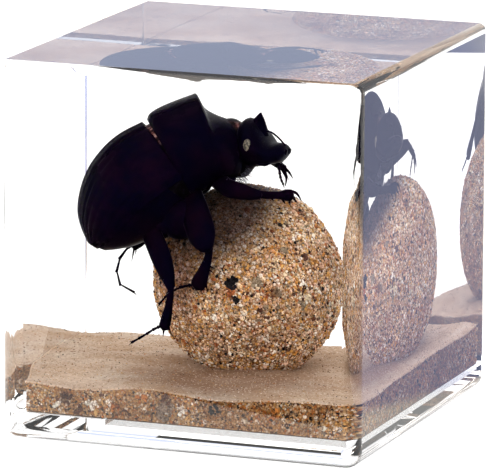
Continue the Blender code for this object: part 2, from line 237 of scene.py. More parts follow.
# tones of the ball's and of the bed's grains, each from its share of the grains on
sandTones = [
    (0.00, (0.006, 0.005, 0.010)), (0.03, (0.13, 0.060, 0.045)), (0.10, (0.46, 0.16, 0.06)),
    (0.16, (0.76, 0.44, 0.14)), (0.32, (0.68, 0.45, 0.26)), (0.46, (0.90, 0.64, 0.50)),
    (0.59, (0.32, 0.26, 0.19)), (0.68, (0.98, 0.82, 0.62)), (0.83, (1.0, 0.96, 0.92)),
]
bedTones = [
    (0.00, (0.020, 0.016, 0.022)), (0.05, (0.15, 0.060, 0.030)), (0.13, (0.60, 0.24, 0.06)),
    (0.24, (0.66, 0.42, 0.17)), (0.48, (0.58, 0.40, 0.24)), (0.68, (0.27, 0.21, 0.17)),
    (0.76, (0.78, 0.62, 0.44)), (0.89, (0.92, 0.90, 0.88)),
]
# painted shade on the ball under the beetle and its hind leg, painted shadow of the ball on the bed's top, and painted
# shade darkening the bed's right wall: place in mm, full and last reach, colour
paintedShade = {"ball": [((-0.5, -4.5, 41.0), (7.5, 16.5), (0.12, 0.10, 0.12)),
                   ((-9.0, -8.0, 27.0), (4.0, 10.0), (0.62, 0.50, 0.50))],
          "bed": [((4.0, -12.0, 4.0), (9.0, 28.0), (0.44, 0.36, 0.32))],
          "wall": [((34.0, 2.0, 7.0), (12.0, 34.0), (0.70, 0.62, 0.56))]}

# noise scales are per metre, sizes in mm; a stain runs from its dark end to its pale one
sandLook = {"cloud": 2600.0, "cloudTones": [(0.36, (0.30, 0.22, 0.18)), (0.56, white)],
            "patch": 150.0, "hue": 380.0,
            "hueTones": [(0.34, (0.74, 0.76, 0.72)), (0.46, white), (0.58, (1.0, 0.98, 0.96)),
                         (0.70, (1.0, 0.78, 0.52))],
            # painted shade at the edges of the sand's cells
            "cellEdgeShade": [(0.0, white), (0.75, (0.40, 0.33, 0.27))],
            "grainBump": (0.5, 0.00005), "cellBump": (0.6, 0.00015), "ballCell": 0.32, "bedCell": 0.4,
            "ballGrainStain": [(0.36, (0.76, 0.62, 0.54)), (0.54, (1.0, 1.0, 0.98))],
            "bedGrainStain": [(0.38, (0.50, 0.35, 0.22)), (0.54, (1.0, 0.95, 0.90))],
            "ballStain": [(0.35, (0.62, 0.48, 0.38)), (0.60, (0.98, 0.94, 0.86))],
            "bedStain": [(0.35, (0.70, 0.50, 0.32)), (0.62, (0.90, 0.82, 0.72))]}
siltLook = {"cloud": 95.0, "grit": 1900.0, "bump": (0.5, 0.0001), "speckSpacing": 0.55,
            "speck": (0.95, 0.86, 0.76, 1.0),
            "tones": [(0.30, (0.54, 0.36, 0.23)), (0.50, (0.70, 0.53, 0.40)), (0.68, (0.80, 0.68, 0.57))],
            "gritTones": [(0.36, (0.74, 0.67, 0.62)), (0.56, white)],
            "speckSize": [(0.16, white), (0.22, (0.0, 0.0, 0.0))]}


def paintShadeOn(tree, place, colour, patches):
    # paints shade: darkens a colour within reach of each point
    for middle, reach, tint in patches:
        away = addNode(tree, "VectorMath", operation="DISTANCE")
        away.inputs[1].default_value = [c * mm for c in middle]
        tree.links.new(place.outputs["Object"], away.inputs[0])
        fade = addFade(tree, away.outputs["Value"], *(r * mm for r in reach))
        colour = multiply(tree, colour, addRamp(tree, fade, [(0.0, tint), (1.0, white)]))
    return colour


def makeGrainMaterial(name, stain, patches, tones=sandTones):
    # one tone for each grain from its own attribute, clouded and stained a little
    material, tree, shader = startMaterial(name, Roughness=0.5, Specular_IOR_Level=0.15)
    tone = addNode(tree, "Attribute", attribute_name="grainTone")
    place = addNode(tree, "TexCoord")
    cloud = addPattern(tree, place, "TexNoise", Scale=sandLook["cloud"], Detail=3.0)
    colour = multiply(tree, addRamp(tree, tone.outputs["Fac"], tones, "CONSTANT"),
                      addRamp(tree, cloud.outputs["Fac"], sandLook["cloudTones"]))
    colour = addStain(tree, place, colour, sandLook["patch"], 4.0, stain)
    colour = addStain(tree, place, colour, sandLook["hue"], 2.0, sandLook["hueTones"])
    tree.links.new(paintShadeOn(tree, place, colour, patches), shader.inputs["Base Color"])
    addBump(tree, shader, cloud.outputs["Fac"], *sandLook["grainBump"])
    return material


def makeSandMaterial(name, cell, stain, patches, tones=sandTones):
    # the fine sand between the grains: a mosaic of small cells in the same tones, with painted shade darkening each
    # cell toward its edge
    material, tree, shader = startMaterial(name, Roughness=0.7, Specular_IOR_Level=0.2)
    place = addNode(tree, "TexCoord")
    cells = addPattern(tree, place, "TexVoronoi", Scale=1.0 / (cell * mm), Randomness=1.0)
    pick = addNode(tree, "SeparateColor")
    tree.links.new(cells.outputs["Color"], pick.inputs["Color"])
    colour = multiply(tree, addRamp(tree, pick.outputs["Red"], tones, "CONSTANT"),
                      addRamp(tree, cells.outputs["Distance"], sandLook["cellEdgeShade"]))
    colour = addStain(tree, place, colour, sandLook["patch"], 4.0, stain)
    tree.links.new(paintShadeOn(tree, place, colour, patches), shader.inputs["Base Color"])
    addBump(tree, shader, cells.outputs["Distance"], *sandLook["cellBump"])
    return material


def makeSilt(name, patches):
    # fine dust settled over the sand: cloudy beige with scattered bright specks
    material, tree, shader = startMaterial(name, Roughness=0.8, Specular_IOR_Level=0.15)
    place = addNode(tree, "TexCoord")
    cloud = addPattern(tree, place, "TexNoise", Scale=siltLook["cloud"], Detail=4.0, Roughness=0.55)
    fine = addPattern(tree, place, "TexNoise", Scale=siltLook["grit"], Detail=3.0)
    colour = multiply(tree, addRamp(tree, cloud.outputs["Fac"], siltLook["tones"]),
                      addRamp(tree, fine.outputs["Fac"], siltLook["gritTones"]))
    colour = paintShadeOn(tree, place, colour, patches)
    cells = addPattern(tree, place, "TexVoronoi", Scale=1.0 / (siltLook["speckSpacing"] * mm), Randomness=1.0)
    speck = addNode(tree, "Mix", data_type="RGBA")
    speck.inputs[7].default_value = siltLook["speck"]
    tree.links.new(addRamp(tree, cells.outputs["Distance"], siltLook["speckSize"]), speck.inputs[0])
    tree.links.new(colour, speck.inputs[6])
    tree.links.new(speck.outputs[2], shader.inputs["Base Color"])
    addBump(tree, shader, fine.outputs["Fac"], *siltLook["bump"])
    return material


# black shell: a red-purple cast in patches over the deep tone, and pits
chitinLook = {"patch": 160.0, "deep": (0.0010, 0.0006, 0.005), "sheen": (0.40, 0.36, 1.0, 1.0), "wear": (-0.06, 0.14),
              "pitEdge": [(0.10, (0.0, 0.0, 0.0)), (0.35, white)], "pitStrength": 0.4, "spread": (0.45, 0.75)}
# soft joint skin, pink in spots along the back: the height range of the pink in metres, and the tint above it
membraneLook = {"spots": 900.0, "bump": (0.5, 0.0001), "below": (0.01, 0.01, 0.03),
                "tones": [(0.44, (0.010, 0.003, 0.006)), (0.54, (0.16, 0.05, 0.05)), (0.66, (0.62, 0.40, 0.38))],
                "waist": (0.0496, 0.0522, white), "neck": (0.0524, 0.0538, (0.01, 0.01, 0.03))}


def makeChitin(name, pits, pitDepth, roughness=0.22, gloss=0.008, warm=(0.006, 0.0012, 0.006)):
    material, tree, shader = startMaterial(name, Specular_IOR_Level=gloss, Specular_Tint=chitinLook["sheen"])
    place = addNode(tree, "TexCoord")
    patch = addPattern(tree, place, "TexNoise", Scale=chitinLook["patch"], Detail=5.0, Roughness=0.6)
    ramp = addRamp(tree, patch.outputs["Fac"], list(zip(chitinLook["spread"], (chitinLook["deep"], warm))))
    tree.links.new(ramp, shader.inputs["Base Color"])
    wear = addNode(tree, "MapRange")
    for end, change in zip(("To Min", "To Max"), chitinLook["wear"]):
        wear.inputs[end].default_value = roughness + change
    tree.links.new(patch.outputs["Fac"], wear.inputs["Value"])
    tree.links.new(wear.outputs["Result"], shader.inputs["Roughness"])
    cells = addPattern(tree, place, "TexVoronoi", Scale=1.0 / (pits * mm), Randomness=1.0)
    hollow = addRamp(tree, cells.outputs["Distance"], chitinLook["pitEdge"])
    addBump(tree, shader, hollow, chitinLook["pitStrength"], pitDepth * mm)
    return material


def makeMembrane(name, low, high, top):
    material, tree, shader = startMaterial(name, Roughness=0.45, Specular_IOR_Level=0.04)
    place = addNode(tree, "TexCoord")
    spots = addPattern(tree, place, "TexNoise", Scale=membraneLook["spots"], Detail=3.0)
    ramp = addRamp(tree, spots.outputs["Fac"], membraneLook["tones"])
    height = addNode(tree, "SeparateXYZ")
    tree.links.new(place.outputs["Object"], height.inputs[0])
    share = addFade(tree, height.outputs["Z"], low, high)
    black = addRamp(tree, share, [(0.0, membraneLook["below"]), (0.5, white), (1.0, top)])
    tree.links.new(multiply(tree, ramp, black), shader.inputs["Base Color"])
    addBump(tree, shader, spots.outputs["Fac"], *membraneLook["bump"])
    return material


# the grain, sand and silt materials carry the painted shade patches
ballGrainMaterial = makeGrainMaterial("ballGrains", sandLook["ballGrainStain"], paintedShade["ball"])
bedGrainMaterial = makeGrainMaterial("bedGrains", sandLook["bedGrainStain"], paintedShade["wall"], bedTones)
ballSandMaterial = makeSandMaterial("ballSand", sandLook["ballCell"], sandLook["ballStain"], paintedShade["ball"])
bedSandMaterial = makeSandMaterial("bedSand", sandLook["bedCell"], sandLook["bedStain"], paintedShade["wall"], bedTones)
siltMaterial = makeSilt("bedSilt", paintedShade["bed"])
hairGrey = startMaterial("hairGrey", Base_Color=(0.10, 0.10, 0.14, 1), Roughness=0.5, Specular_IOR_Level=0.2)[0]
shellBlack = makeChitin("shellBlack", pits=0.45, pitDepth=0.008)
coarseBlack = makeChitin("coarseBlack", pits=0.4, pitDepth=0.06, roughness=0.30, gloss=0.012)
legBlack = makeChitin("legBlack", pits=0.5, pitDepth=0.02, roughness=0.28, warm=(0.006, 0.001, 0.004))
waistPink = makeMembrane("waistPink", *membraneLook["waist"])
neckPink = makeMembrane("neckPink", *membraneLook["neck"])
print("materials made")

# measures of the clear block, and of the bed of sand that it holds
block = {"size": (65.0, 67.6, 65.0), "cornerRadius": 5.2, "uprightRadius": 2.7, "crispRadius": 0.35,
         "topRadius": 1.5, "baseRadius": 2.7, "roundSteps": 10,
         # x, y, z, radius
         "bubbles": [(29.3, -32.6, 6.9, 0.38), (28.1, -32.4, 7.6, 0.12), (30.2, -32.3, 6.0, 0.10),
                     (-12.4, -32.5, 9.1, 0.10), (8.7, -32.6, 5.4, 0.09), (-20.5, -20.0, 16.5, 0.10),
                     (18.0, -24.0, 14.2, 0.09)],
         # air where the sand has come away from the clear base: from x, to x, from z, to z, and its margin in the bed
         "films": [(-13.0, 29.8, 3.7, 4.75), (-31.8, -13.2, 4.5, 4.7)], "filmMargin": 0.1}
bed = {"front": -31.3, "back": 30.6, "right": 30.0, "leftFront": -27.4, "flare": 4.7, "flareRun": 0.4,
       "bottom": 4.8, "top": 10.7, "riseRight": 0.6, "riseBack": 0.6, "ripple": 0.45, "rippleSize": 14.0, "seed": 21,
       "coreInset": 0.35, "coreDrop": 0.1, "coreSteps": 90, "siltSteps": 120, "siltThickness": 0.25,
       "siltMargin": 0.25, "siltSink": 0.02, "siltOverlap": 0.3,  # the silt runs on to the clear wall at the left
       # fine relief in layers: level of the noise, scale, height
       "coreRelief": [(3.0, 1.3, 0.10)], "siltRelief": [(7.0, 1.1, 0.12), (2.0, 3.1, 0.05)],
       # grains against the walls: number per mm, least and greatest radius, share of the height
       "wallGrains": [(27.0, 0.10, 0.20, 1.0), (4.0, 0.22, 0.40, 0.9), (0.7, 0.5, 0.9, 0.6)],
       "pebbleFrom": 0.5, "pebbleTones": (0.05, 0.25, 0.45, 0.70, 0.90, 0.95),
       # in radii of the grain: least height over the bottom, depth under the top, way in from the wall
       "wallLift": 0.7, "wallSink": 0.6, "wallIn": (0.6, 1.2),
       "wallRise": 0.1,  # in mm over the sand's height
       # patches in the front wall: x, z, reach, grains (one is a pebble of that radius), tone
       "marks": [(-21.7, 6.3, 0.7, 9, 0.95), (-15.6, 7.3, 0.85, 13, 0.95), (-11.2, 7.0, 0.8, 12, 0.20),
                 (-6.4, 8.8, 0.9, 14, 0.20), (-19.9, 7.8, 0.9, 18, 0.08), (-18.0, 6.0, 0.8, 12, 0.08),
                 (-2.3, 7.1, 1.7, 44, 0.70), (-2.0, 9.0, 0.9, 16, 0.12), (0.8, 7.2, 0.9, 12, 0.95),
                 (6.6, 8.0, 0.9, 14, 0.02), (12.0, 6.6, 0.8, 1, 0.90), (17.5, 8.2, 1.0, 14, 0.20),
                 (22.4, 6.6, 0.9, 1, 0.80)],
       "markGrains": (0.26, 0.46), "markIn": 0.05, "pebbleIn": 0.75,
       "topGrains": 1800, "topGrainSize": (0.07, 0.17), "topMargin": 0.5, "topSink": 0.03}


def sandHeight(x, y):
    slope = bed["riseRight"] * 2.0 * x / block["size"][0] + bed["riseBack"] * 2.0 * y / block["size"][1]
    return bed["top"] + slope + 2.0 * bed["ripple"] * noise.noise(Vector((x, y, 0.0)) / bed["rippleSize"])


def bedLeft(deep):
    return bed["leftFront"] - bed["flare"] * min(deep / bed["flareRun"], 1.0)


def bedDepth(deep, margin):
    return bed["front"] + margin + (bed["back"] - bed["front"] - 2 * margin) * deep


def fineRelief(x, y, layers):
    return sum(noise.noise(Vector((x, y, level)) * scale) * height for level, scale, height in layers)


def edgeRadius(middle):
    if abs(middle.z) > block["size"][2] * mm / 4:
        return block["topRadius"] if middle.z > 0 else block["baseRadius"]
    if middle.x > 0:
        return block["uprightRadius"]
    return block["cornerRadius"] if middle.y < 0 else block["crispRadius"]


bm = bmesh.new()
bmesh.ops.create_cube(bm, size=1.0, matrix=Matrix.Diagonal((*(s * mm for s in block["size"]), 1.0)))
weight = bm.edges.layers.float.new("bevel_weight_edge")
for edge in bm.edges:
    edge[weight] = edgeRadius((edge.verts[0].co + edge.verts[1].co) / 2) / block["cornerRadius"]
bmesh.ops.translate(bm, vec=(0, 0, block["size"][2] * mm / 2), verts=bm.verts)
resinBlock = keepPiece("resin_block", bm, clearResin, ("resin_lower", "resin_upper"))
rounding = resinBlock.modifiers.new("rounding", "BEVEL")
rounding.limit_method = "WEIGHT"
rounding.width = block["cornerRadius"] * mm
rounding.segments = block["roundSteps"]
rounded = bpy.data.meshes.new_from_object(resinBlock.evaluated_get(bpy.context.evaluated_depsgraph_get()))
resinBlock.modifiers.clear()
bm = bmesh.new()
bm.from_mesh(rounded)
hollow = []
margin = block["filmMargin"]
for left, right, low, high in block["films"]:
    made = bmesh.ops.create_grid(bm, x_segments=1, y_segments=10, size=0.5)["verts"]
    for vert in made:
        deep = vert.co.y + 0.5
        x = max(left, bedLeft(deep) + margin) if vert.co.x < 0 else right
        vert.co = Vector((x, bedDepth(deep, margin), high)) * mm
    sheet = list({f for v in made for f in v.link_faces})
    raised = bmesh.ops.extrude_face_region(bm, geom=sheet, use_keep_orig=True)["geom"]
    below = [item for item in raised if isinstance(item, bmesh.types.BMVert)]
    bmesh.ops.translate(bm, vec=(0, 0, (low - high) * mm), verts=below)
    skin = list({f for v in list(made) + below for f in v.link_faces})
    bmesh.ops.recalc_face_normals(bm, faces=skin)
    hollow += list(made) + below
for x, y, z, radius in block["bubbles"]:
    hollow += addEgg(bm, (x, y, z), (radius,) * 3, around=20, rows=12)
bmesh.ops.reverse_faces(bm, faces=list({f for v in hollow for f in v.link_faces}))
bm.to_mesh(resinBlock.data)
bm.free()
print("clear block made")


def anyWay(pick):
    return Vector((pick.gauss(0, 1), pick.gauss(0, 1), pick.gauss(0, 1)))


# loose grains, made in small batches and joined
def scatterGrains(name, spots, material, seed, squash=(0.65, 1.1), perBatch=150):
    # spots: (place, radius, tone from 0 to 1)
    pick = random.Random(seed)
    whole = bmesh.new()
    for start in range(0, len(spots), perBatch):
        batch = bmesh.new()
        tone = batch.verts.layers.float.new("grainTone")
        for place, radius, shade in spots[start:start + perBatch]:
            turn = Matrix.Rotation(pick.uniform(0, math.tau), 4, anyWay(pick))
            stretch = Matrix.Diagonal([radius * pick.uniform(*squash) for axis in range(3)] + [1.0])
            made = bmesh.ops.create_icosphere(batch, subdivisions=1, radius=1.0,
                                              matrix=Matrix.Translation(place) @ turn @ stretch)
            for vert in made["verts"]:
                vert[tone] = shade
        mesh = bpy.data.meshes.new("batch")
        batch.to_mesh(mesh)
        batch.free()
        whole.from_mesh(mesh)
        bpy.data.meshes.remove(mesh)
    keepPiece(name, whole, material, smooth=30)


# ball of dung rolled in sand
ball = {"middle": (3.9, 6.8, 25.1), "radius": 16.75, "lump": 0.35, "lumpAt": 16.9, "lumpSize": 9.0,
        "fine": 0.12, "fineScale": 40.0, "grains": 9400, "grainSize": (0.15, 0.44), "bigShare": 0.03, "bigger": 1.7,
        "sunk": 0.15, "seed": 7, "jitter": (0.02, 0.01), "markGrains": (0.24, 0.42), "markLift": 0.12,
        # patches of one tone: place on the ball, reach, grains, tone
        "marks": [((4.7, -10.1, 27.0), 1.15, 60, 0.02), ((4.6, -10.2, 25.2), 0.7, 18, 0.14),
                  ((5.6, -10.0, 24.1), 0.6, 14, 0.02), ((10.2, -7.0, 17.3), 0.55, 9, 0.92),
                  ((16.2, -4.7, 27.3), 0.5, 8, 0.92), ((12.5, -7.9, 25.6), 0.9, 26, 0.65),
                  ((9.0, -9.0, 27.2), 1.0, 30, 0.65), ((16.5, -2.6, 31.6), 0.6, 12, 0.04),
                  ((7.2, -9.6, 28.0), 0.4, 6, 0.92), ((13.6, -5.6, 33.0), 0.7, 14, 0.65),
                  ((9.5, -8.8, 22.5), 0.5, 9, 0.04), ((1.6, -9.9, 20.6), 0.5, 9, 0.92),
                  ((-2.0, -8.9, 22.0), 0.5, 9, 0.12)]}


def ballSurface(direction, lift=0.0):
    bump = noise.noise(direction * ball["lumpAt"] / ball["lumpSize"]) * ball["lump"]
    return Vector(ball["middle"]) * mm + direction * (ball["radius"] + bump + lift) * mm


bm = bmesh.new()
bmesh.ops.create_icosphere(bm, subdivisions=5, radius=1.0)
for vert in bm.verts:
    fine = noise.noise(vert.co * ball["fineScale"]) * ball["fine"]
    vert.co = ballSurface(vert.co.normalized(), fine)
keepPiece("ball_core", bm, ballSandMaterial, ("dung_ball",), smooth=180)
pick = random.Random(ball["seed"])
spots = []
turned, raised = ball["jitter"]
for i in range(ball["grains"]):
    height = 1 - 2 * (i + 0.5) / ball["grains"]
    angle = i * math.pi * (3 - math.sqrt(5)) + pick.uniform(-turned, turned)
    level = math.sqrt(1 - height * height)
    direction = Vector((level * math.cos(angle), level * math.sin(angle), height + pick.uniform(-raised, raised)))
    size = pick.uniform(*ball["grainSize"]) * (ball["bigger"] if pick.random() < ball["bigShare"] else 1.0)
    spots.append((ballSurface(direction.normalized(), -ball["sunk"] * size), size * mm, pick.random()))
for place, reach, count, tone in ball["marks"]:
    toward = (Vector(place) - Vector(ball["middle"])).normalized() * ball["radius"]
    for i in range(count):
        jitter = anyWay(pick).normalized() * reach * math.sqrt(pick.random())
        size = pick.uniform(*ball["markGrains"])
        spots.append((ballSurface((toward + jitter).normalized(), ball["markLift"]), size * mm, tone))
scatterGrains("ball_grains", spots, ballGrainMaterial, seed=11)
print("ball made")

# bed of sand
inset, drop = bed["coreInset"], bed["coreDrop"]
bm = bmesh.new()  # a line of the grid falls on the bend of the left side
bmesh.ops.create_grid(bm, x_segments=bed["coreSteps"], y_segments=bed["coreSteps"], size=0.5)
for vert in bm.verts:
    across, deep = vert.co.x + 0.5, vert.co.y + 0.5
    left = bedLeft(deep) + inset
    vert.co.x = left + (bed["right"] - inset - left) * across
    vert.co.y = bedDepth(deep, inset)
top = list(bm.faces)
raised = bmesh.ops.extrude_face_region(bm, geom=top, use_keep_orig=True)
below = [item for item in raised["geom"] if isinstance(item, bmesh.types.BMVert)]
for vert in below:
    vert.co.z = bed["bottom"] + drop
for vert in {v for face in top for v in face.verts}:
    x, y = vert.co.xy
    vert.co.z = sandHeight(x, y) - drop + fineRelief(x, y, bed["coreRelief"])
bmesh.ops.dissolve_faces(bm, faces=[item for item in raised["geom"] if isinstance(item, bmesh.types.BMFace)])
bmesh.ops.scale(bm, vec=(mm, mm, mm), verts=bm.verts)
bmesh.ops.recalc_face_normals(bm, faces=bm.faces)
keepPiece("bed_core", bm, bedSandMaterial, ("sand_bed",))

pick = random.Random(bed["seed"])
spots = []
turnY = bedDepth(bed["flareRun"], 0)
corners = [Vector((x, y, 0)) for x, y in ((bedLeft(0), bed["front"]), (bed["right"], bed["front"]),
                                          (bed["right"], bed["back"]), (bedLeft(1), bed["back"]), (bedLeft(1), turnY))]
for start, end in zip(corners, corners[1:] + corners[:1]):  # coarse grains settled against the walls
    run = end - start
    inward = Vector((-run.y, run.x, 0)).normalized()
    for share, low, high, ceiling in bed["wallGrains"]:
        for i in range(int(run.length * share)):
            place = start + run * pick.random()
            size = pick.uniform(low, high)
            top = sandHeight(place.x, place.y) + bed["wallRise"] - size * bed["wallSink"]
            top = bed["bottom"] + (top - bed["bottom"]) * ceiling
            place.z = pick.uniform(bed["bottom"] + size * bed["wallLift"], top)
            tone = pick.random() if size < bed["pebbleFrom"] else pick.choice(bed["pebbleTones"])
            spots.append(((place + inward * size * pick.uniform(*bed["wallIn"])) * mm, size * mm, tone))
for x, z, reach, count, tone in bed["marks"]:
    for i in range(count):
        angle, away = pick.uniform(0, math.tau), (reach * math.sqrt(pick.random()) if count > 1 else 0.0)
        size = reach if count == 1 else pick.uniform(*bed["markGrains"])
        deep = size * bed["pebbleIn"] if count == 1 else bed["markIn"]
        place = Vector((x + math.cos(angle) * away, bed["front"] + deep, z + math.sin(angle) * away))
        spots.append((place * mm, size * mm, tone))
scatterGrains("bed_wall_grains", spots, bedGrainMaterial, seed=23)
spots = []
margin = bed["topMargin"]
for i in range(bed["topGrains"]):  # few small ones show through the silt
    deep = pick.random()
    x = pick.uniform(bedLeft(deep) + margin, bed["right"] - margin)
    y = bedDepth(deep, margin)
    size = pick.uniform(*bed["topGrainSize"])
    spots.append((Vector((x, y, sandHeight(x, y) - bed["topSink"])) * mm, size * mm, pick.random()))
scatterGrains("bed_top_grains", spots, bedGrainMaterial, seed=25)
margin = bed["siltMargin"]
bm = bmesh.new()
bmesh.ops.create_grid(bm, x_segments=bed["siltSteps"], y_segments=bed["siltSteps"], size=0.5)
for vert in bm.verts:
    across, deep = vert.co.x + 0.5, vert.co.y + 0.5
    left = bedLeft(deep) - bed["siltOverlap"]
    x = left + (bed["right"] - margin - left) * across
    y = bedDepth(deep, margin)
    z = sandHeight(x, y) - bed["siltSink"] + fineRelief(x, y, bed["siltRelief"])
    vert.co = Vector((x, y, z)) * mm
bmesh.ops.solidify(bm, geom=list(bm.faces), thickness=bed["siltThickness"] * mm)
keepPiece("bed_silt", bm, siltMaterial, smooth=180)
print("bed made")

# beetle: the body and the head each have a midplane, turned about the upright
beetle = {"bodyPivot": (4.0, 0.2), "bodyYaw": 18.0, "headPivot": (-8.3, 0.9), "headYaw": -4.0,
          # swollen roots of the legs: middle, radii
          "coxae": [((-5.4, -7.8, 37.0), (3.6, 2.8, 3.6)), ((-9.2, -7.6, 36.0), (3.6, 2.8, 2.8)),
                    ((-4.8, 3.2, 42.0), (2.8, 2.6, 2.2)), ((-12.0, 1.2, 36.4), (3.0, 2.6, 2.4)),
                    ((1.6, -3.6, 44.2), (2.4, 2.2, 1.8)), ((1.0, 3.6, 44.8), (2.4, 2.2, 1.8))],
          "rearEnd": (-22.6, 31.8, -20.0, 30.5, 2.4), "underShell": (0.9, -0.6, 0.9)}


def midplaneTurn(pivot, yaw):
    return (Matrix.Translation((pivot[0] * mm, pivot[1] * mm, 0)) @ Matrix.Rotation(math.radians(yaw), 4, "Z")
            @ Matrix.Translation((-pivot[0] * mm, 0, 0)))


bodyTurn = midplaneTurn(beetle["bodyPivot"], beetle["bodyYaw"])
headTurn = midplaneTurn(beetle["headPivot"], beetle["headYaw"])


def bodyRings(bm, stations, segments):
    rings = []
    for backX, backZ, bellyX, bellyZ, half in stations:
        back, belly = Vector((backX, 0, backZ)) * mm, Vector((bellyX, 0, bellyZ)) * mm
        rings.append(addRing(bm, (back + belly) / 2, Vector((0, half, 0)) * mm, (back - belly) / 2, segments))
    return rings


# stations along the body in mm: back x, z, belly x, z, half width
hindStations = [
    (-23.2, 31.7, -20.6, 30.5, 2.8), (-24.4, 34.3, -18.0, 30.8, 5.6), (-25.0, 37.2, -15.4, 31.4, 7.7),
    (-24.5, 40.8, -13.0, 32.4, 9.0), (-23.0, 44.6, -10.9, 33.5, 9.6), (-20.4, 48.1, -8.9, 34.8, 9.7),
    (-17.4, 50.7, -7.0, 36.7, 9.3), (-13.5, 52.8, -5.2, 39.0, 8.6),
]
thoraxStations = [
    (-12.6, 53.2, -4.3, 39.9, 8.7), (-12.1, 54.3, -3.6, 40.7, 9.2), (-10.2, 55.5, -2.4, 41.6, 9.7),
    (-7.2, 56.8, -0.9, 42.4, 10.0), (-4.6, 57.8, 0.2, 43.0, 9.8), (-4.0, 58.0, 0.6, 43.0, 9.7),
    (-3.5, 57.4, 1.0, 43.2, 9.5), (-2.4, 55.6, 1.8, 43.5, 9.2), (-0.4, 54.5, 2.9, 43.7, 8.1),
    (1.7, 53.8, 3.7, 44.3, 6.4), (3.0, 53.1, 4.3, 45.0, 4.9),
]
waistStations = [
    (-16.6, 50.0, -7.4, 37.2, 8.2), (-14.4, 51.5, -6.0, 38.6, 8.3), (-12.6, 52.3, -4.6, 39.9, 8.3),
    (-10.6, 53.4, -3.4, 41.2, 8.6),
]
neckStations = [
    (0.4, 53.6, 3.0, 43.8, 5.4), (2.0, 54.0, 4.2, 43.9, 4.9), (3.1, 53.9, 5.2, 44.3, 4.6), (4.1, 53.4, 5.8, 45.0, 4.3),
    (5.4, 52.8, 6.5, 45.9, 4.0),
]
headStations = [
    (4.3, 53.5, 5.2, 45.5, 4.9), (5.5, 54.3, 6.4, 45.9, 5.9), (7.0, 53.6, 7.8, 46.2, 6.1),
    (8.5, 52.0, 9.1, 46.5, 5.8), (9.5, 50.6, 9.9, 46.7, 5.3), (10.5, 50.4, 10.8, 46.9, 4.5),
    (11.5, 50.4, 11.6, 47.2, 3.7), (12.2, 50.1, 12.1, 47.7, 3.0), (12.6, 49.6, 12.5, 48.3, 2.3),
]


def keepChitin(name, bm, material, stands=(), smooth=60):
    return keepPiece(name, bm, material, stands, smooth)


backward, lower, narrower = beetle["underShell"]  # the body's back lies this far under the wing cases
hindBack = [(x + backward, z + lower, u, w, h - narrower) for x, z, u, w, h in hindStations[1:]]
# name, stations, steps from one to the next, points around, caps in mm, turn, eggs, material, solid replaced
bodyParts = [
    ("hindbody", [beetle["rearEnd"]] + hindBack, 3, 48, (0.3, 0.2), bodyTurn, beetle["coxae"], coarseBlack,
     ("beetle_hindbody",)),
    ("waist", waistStations, 4, 48, (0.1, 0.1), bodyTurn, [], waistPink, ()),
    ("neck", neckStations, 4, 48, (0.1, 0.1), bodyTurn, [], neckPink, ()),
    ("prothorax", thoraxStations, 3, 64, (0.2, 0.2), bodyTurn, [], shellBlack, ("beetle_prothorax",)),
    ("head", headStations, 3, 48, (0.1, 0.1), headTurn, [], coarseBlack, ("beetle_head",)),
]
for name, stations, steps, around, caps, turn, eggs, skin, stands in bodyParts:
    bm = bmesh.new()
    loft(bm, bodyRings(bm, curveThrough(stations, steps), around), caps)
    bmesh.ops.transform(bm, matrix=turn, verts=bm.verts)
    for middle, radii in eggs:
        addEgg(bm, middle, radii, around=28, rows=18)
    keepChitin(name, bm, skin, stands)

# wing cases: a full loft, of which each side keeps its half above the lower edge
elytra = {"edge": -14.0, "seam": 89.9, "gap": 0.12, "wall": 0.55, "grooves": 8, "grooveDepth": 0.16,
          "grooveWidth": 0.13, "segments": 144, "upward": (-0.6, 0, 0.8), "inside": (-16, 0, 40),
          # the lower front is drawn forward over the joint, over this run and below this angle
          "lap": 1.9, "lapStart": 1.0, "lapRun": 8.0, "lapBelow": 82.0, "lapFade": 35.0}
for side, name in ((-1, "elytron_right"), (1, "elytron_left")):
    bm = bmesh.new()
    rings = bodyRings(bm, curveThrough(hindStations, perGap=6), elytra["segments"])
    for near, far in zip(rings, rings[1:]):
        bmesh.ops.bridge_loops(bm, edges=ringEdges(near) + ringEdges(far))
    angleOf = {}
    for ring in rings:
        middle = sum((v.co for v in ring), Vector()) / len(ring)
        top = max(ring, key=lambda v: (v.co - middle).dot(Vector(elytra["upward"]))).co - middle
        half = max(v.co.y for v in ring)
        for vert in ring:
            away = vert.co - middle
            angleOf[vert] = math.degrees(math.atan2(away.dot(top) / top.length_squared, side * away.y / half))
    drop = [f for f in bm.faces if any(angleOf[v] < elytra["edge"] or angleOf[v] > elytra["seam"] for v in f.verts)]
    bmesh.ops.delete(bm, geom=drop, context="FACES")
    bmesh.ops.recalc_face_normals(bm, faces=bm.faces)
    if sum(f.normal.dot(f.calc_center_median() - Vector(elytra["inside"]) * mm) for f in bm.faces) < 0:
        bmesh.ops.reverse_faces(bm, faces=bm.faces)
    bm.normal_update()
    moves = {}
    for vert in bm.verts:
        share = (angleOf[vert] - elytra["edge"]) / (90 - elytra["edge"]) * elytra["grooves"]
        groove = math.exp(-((share % 1.0 - 0.5) / elytra["grooveWidth"]) ** 2)
        moves[vert] = vert.normal * -groove * elytra["grooveDepth"] * mm
    frontX = max(v.co.x for v in bm.verts)
    for vert, move in moves.items():
        vert.co += move
        reach = max(0.0, 1.0 - (frontX + elytra["lapStart"] * mm - vert.co.x) / (elytra["lapRun"] * mm))
        low = min(1.0, max(0.0, (elytra["lapBelow"] - angleOf[vert]) / elytra["lapFade"]))
        vert.co.x += elytra["lap"] * reach * low * mm
        vert.co.y += side * elytra["gap"] * mm
    bmesh.ops.transform(bm, matrix=bodyTurn, verts=bm.verts)
    piece = keepChitin(name + "_shell", bm, shellBlack, (name,))
    wall = piece.modifiers.new("wall", "SOLIDIFY")
    wall.thickness = elytra["wall"] * mm
    wall.offset = -1.0
print("body made")

